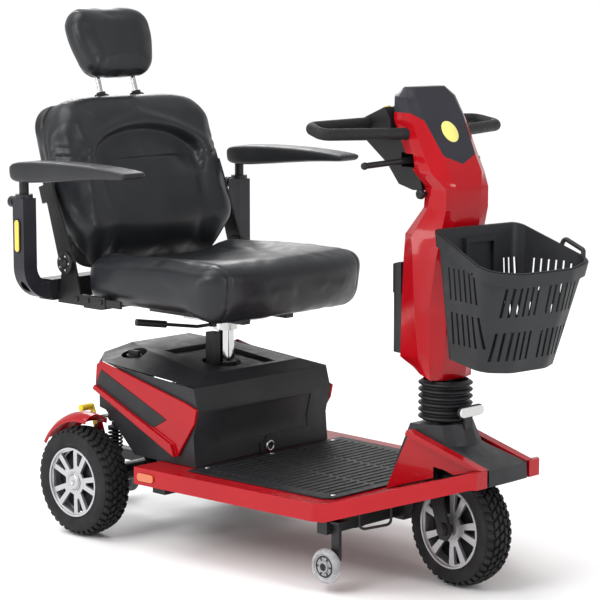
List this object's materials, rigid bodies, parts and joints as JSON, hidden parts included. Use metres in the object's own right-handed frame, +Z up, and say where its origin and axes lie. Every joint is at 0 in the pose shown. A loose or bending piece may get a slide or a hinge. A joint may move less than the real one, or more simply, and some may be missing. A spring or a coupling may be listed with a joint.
{
  "type": "mobility scooter",
  "caption": "Electric three-wheeled mobility scooter with swivelling padded seat, flip-up armrests, headrest, tilting tiller, front basket and sprung rear axle",
  "frame": {"origin": "on the floor, under the middle of the scooter's overall length and width", "axes": "+X forward, +Y to the rider's left, +Z up; the tiller is stored turned 7 degrees to the rider's right"},
  "size_m": [1.4194, 0.765, 1.2086],
  "materials": {
    "black_frame_paint": "satin powder coat",
    "red_gloss_panel": "deep gloss red",
    "ribbed_mat_rubber": "matt, ribbed",
    "amber_lens": "clear amber",
    "black_cover_plastic": "fine grained",
    "clear_lens": "clear over chrome",
    "battery_case": "matt",
    "controller_case": "anodised",
    "brushed_metal": "brushed",
    "spring_steel": "black gloss coil",
    "clear_wheel_plastic": "smoky clear tread over black core",
    "cast_alloy": "as cast",
    "yellow_plastic": "bright",
    "tyre_rubber": "treaded",
    "silver_rim": "silver lacquer",
    "grey_wheel_plastic": "matt",
    "boot_rubber": "satin",
    "head_cap_plastic": "fine grained",
    "console_plastic": "matt",
    "grip_foam": "soft foam",
    "basket_plastic": "grained",
    "chrome_post": "polished",
    "zinc_plate": "zinc plated",
    "black_upholstery": "semi-gloss vinyl",
    "dark_arm_paint": "satin",
    "pad_plastic": "grained polyurethane"
  },
  "bodies": {
    "chassis": {"main_frame": "black_frame_paint", "floor_pan": "red_gloss_panel", "floor_mat": "ribbed_mat_rubber", "side_markers": "amber_lens", "front_braces": "red_gloss_panel", "front_shroud": "black_cover_plastic", "headlight": "black_cover_plastic", "headlight_lens": "clear_lens", "tie_down_loops": "black_frame_paint", "caster_stalks": "black_frame_paint", "batteries": "battery_case", "controller": "controller_case", "base_cover": "black_cover_plastic", "base_lid": "black_cover_plastic", "side_panels": "red_gloss_panel", "charger_port": "brushed_metal", "seat_post_socket": "black_frame_paint", "shock_absorbers": "spring_steel"},
    "lid_lock": {"lid_knob": "black_cover_plastic"},
    "right_caster": {"caster_wheel_right": "clear_wheel_plastic"},
    "left_caster": {"caster_wheel_left": "clear_wheel_plastic"},
    "rear_swing": {"rear_frame": "black_frame_paint", "transaxle": "cast_alloy", "fenders": "red_gloss_panel"},
    "freewheel": {"freewheel_lever": "yellow_plastic"},
    "right_rear_wheel": {"rear_tyre_right": "tyre_rubber", "rear_rim_right": "silver_rim"},
    "left_rear_wheel": {"rear_tyre_left": "tyre_rubber", "rear_rim_left": "silver_rim"},
    "tail_wheels": {"anti_tip_wheels": "grey_wheel_plastic"},
    "front_fork": {"fork": "black_frame_paint", "steering_boot": "boot_rubber"},
    "front_wheel": {"front_tyre": "tyre_rubber", "front_rim": "silver_rim"},
    "tiller": {"tiller_tube": "black_frame_paint", "tiller_shell": "red_gloss_panel", "head_cap": "head_cap_plastic", "console": "console_plastic", "handlebar": "grip_foam", "storage_pocket": "black_cover_plastic"},
    "carrier": {"basket": "basket_plastic"},
    "throttle": {"throttle_lever": "console_plastic"},
    "ignition": {"key": "brushed_metal"},
    "speed_dial": {"speed_knob": "console_plastic"},
    "horn": {"horn_button": "yellow_plastic"},
    "post": {"seat_post_rod": "chrome_post"},
    "swivel": {"swivel_bracket": "zinc_plate"},
    "swivel_release": {"swivel_lever": "console_plastic"},
    "seat": {"seat_frame": "black_frame_paint", "seat_cushion": "black_upholstery"},
    "backrest": {"back_frame": "black_frame_paint", "back_cushion": "black_upholstery"},
    "headrest": {"headrest_posts": "chrome_post", "headrest_cushion": "black_upholstery"},
    "right_arm": {"arm_tube_right": "dark_arm_paint"},
    "left_arm": {"arm_tube_left": "dark_arm_paint"},
    "right_arm_riser": {"arm_post_right": "black_frame_paint"},
    "left_arm_riser": {"arm_post_left": "black_frame_paint"},
    "right_armrest": {"arm_pad_right": "pad_plastic"},
    "left_armrest": {"arm_pad_left": "pad_plastic"}
  },
  "joints": [
    {"name": "rear_suspension", "type": "hinge", "parent": "chassis", "child": "rear_swing", "pos_m": [-0.32391, 0, 0.14], "axis": [0, 1, 0], "range_deg": [0, 4], "stiffness_Nm_per_rad": 4000, "springref_deg": -2.29, "deforming": ["shock_absorbers"]},
    {"name": "right_rear_wheel_spin", "type": "hinge", "parent": "rear_swing", "child": "right_rear_wheel", "pos_m": [-0.45191, -0.273, 0.127], "axis": [0, 1, 0], "continuous": true},
    {"name": "left_rear_wheel_spin", "type": "hinge", "parent": "rear_swing", "child": "left_rear_wheel", "pos_m": [-0.45191, 0.273, 0.127], "axis": [0, 1, 0], "continuous": true},
    {"name": "tail_wheels_spin", "type": "hinge", "parent": "rear_swing", "child": "tail_wheels", "pos_m": [-0.64391, 0, 0.045], "axis": [0, 1, 0], "continuous": true},
    {"name": "freewheel_turn", "type": "hinge", "parent": "rear_swing", "child": "freewheel", "pos_m": [-0.48191, -0.204, 0.24], "axis": [0, -1, 0], "range_deg": [0, 20]},
    {"name": "right_caster_spin", "type": "hinge", "parent": "chassis", "child": "right_caster", "pos_m": [0.29409, -0.251, 0.057], "axis": [0, 1, 0], "continuous": true},
    {"name": "left_caster_spin", "type": "hinge", "parent": "chassis", "child": "left_caster", "pos_m": [0.29409, 0.251, 0.057], "axis": [0, 1, 0], "continuous": true},
    {"name": "lid_knob_turn", "type": "hinge", "parent": "chassis", "child": "lid_lock", "pos_m": [-0.42191, -0.14, 0.4], "axis": [0, 0, 1], "range_deg": [0, 90]},
    {"name": "steering", "type": "hinge", "parent": "chassis", "child": "front_fork", "pos_m": [0.40409, 0, 0.3], "axis": [0, 0, 1], "range_deg": [-24, 38]},
    {"name": "front_wheel_spin", "type": "hinge", "parent": "front_fork", "child": "front_wheel", "pos_m": [0.45471, -0.00622, 0.127], "axis": [0.1219, 0.9925, 0], "continuous": true},
    {"name": "tiller_tilt", "type": "hinge", "parent": "front_fork", "child": "tiller", "pos_m": [0.40409, 0, 0.396], "axis": [-0.1219, -0.9925, 0], "range_deg": [0, 25], "deforming": ["steering_boot"]},
    {"name": "basket_lift", "type": "slide", "parent": "tiller", "child": "carrier", "axis": [0, 0, 1], "range_m": [0, 0.05]},
    {"name": "throttle_turn", "type": "hinge", "parent": "tiller", "child": "throttle", "pos_m": [0.35248, 0.00634, 0.899], "axis": [0, 0, 1], "range_deg": [-10, 10], "stiffness_Nm_per_rad": 2},
    {"name": "key_turn", "type": "hinge", "parent": "tiller", "child": "ignition", "pos_m": [0.28206, -0.0092, 1.00417], "axis": [-0.355, 0.0436, 0.9339], "range_deg": [0, 90]},
    {"name": "speed_dial_turn", "type": "hinge", "parent": "tiller", "child": "speed_dial", "pos_m": [0.26315, 0.01731, 0.99574], "axis": [-0.355, 0.0436, 0.9339], "range_deg": [-135, 135]},
    {"name": "horn_press", "type": "slide", "parent": "tiller", "child": "horn", "axis": [0.355, -0.0436, -0.9339], "range_m": [0, 0.002], "stiffness_N_per_m": 600, "springref_m": -0.001},
    {"name": "seat_height", "type": "slide", "parent": "chassis", "child": "post", "axis": [0, 0, 1], "range_m": [0, 0.08]},
    {"name": "seat_swivel", "type": "hinge", "parent": "post", "child": "swivel", "pos_m": [-0.26191, 0, 0.49], "axis": [0, 0, 1], "range_deg": [-90, 0]},
    {"name": "swivel_lever_pull", "type": "hinge", "parent": "swivel", "child": "swivel_release", "pos_m": [-0.24591, -0.056, 0.49], "axis": [0, 0, 1], "range_deg": [0, 15], "stiffness_Nm_per_rad": 1, "springref_deg": -5.73},
    {"name": "seat_slide", "type": "slide", "parent": "swivel", "child": "seat", "axis": [1, 0, 0], "range_m": [-0.06, 0.06]},
    {"name": "recline", "type": "hinge", "parent": "seat", "child": "backrest", "pos_m": [-0.50191, 0, 0.628], "axis": [0, 1, 0], "range_deg": [-20, 30]},
    {"name": "headrest_height", "type": "slide", "parent": "backrest", "child": "headrest", "axis": [-0.309, 0, 0.9511], "range_m": [-0.02, 0.05]},
    {"name": "right_arm_width", "type": "slide", "parent": "seat", "child": "right_arm", "axis": [0, -1, 0], "range_m": [0, 0.06]},
    {"name": "right_arm_height", "type": "slide", "parent": "right_arm", "child": "right_arm_riser", "axis": [0, 0, 1], "range_m": [0, 0.05]},
    {"name": "right_armrest_flip", "type": "hinge", "parent": "right_arm_riser", "child": "right_armrest", "pos_m": [-0.56291, -0.345, 0.838], "axis": [0, -1, 0], "range_deg": [0, 90]},
    {"name": "left_arm_width", "type": "slide", "parent": "seat", "child": "left_arm", "axis": [0, 1, 0], "range_m": [0, 0.06]},
    {"name": "left_arm_height", "type": "slide", "parent": "left_arm", "child": "left_arm_riser", "axis": [0, 0, 1], "range_m": [0, 0.05]},
    {"name": "left_armrest_flip", "type": "hinge", "parent": "left_arm_riser", "child": "left_armrest", "pos_m": [-0.56291, 0.345, 0.838], "axis": [0, -1, 0], "range_deg": [0, 90]}
  ]
}
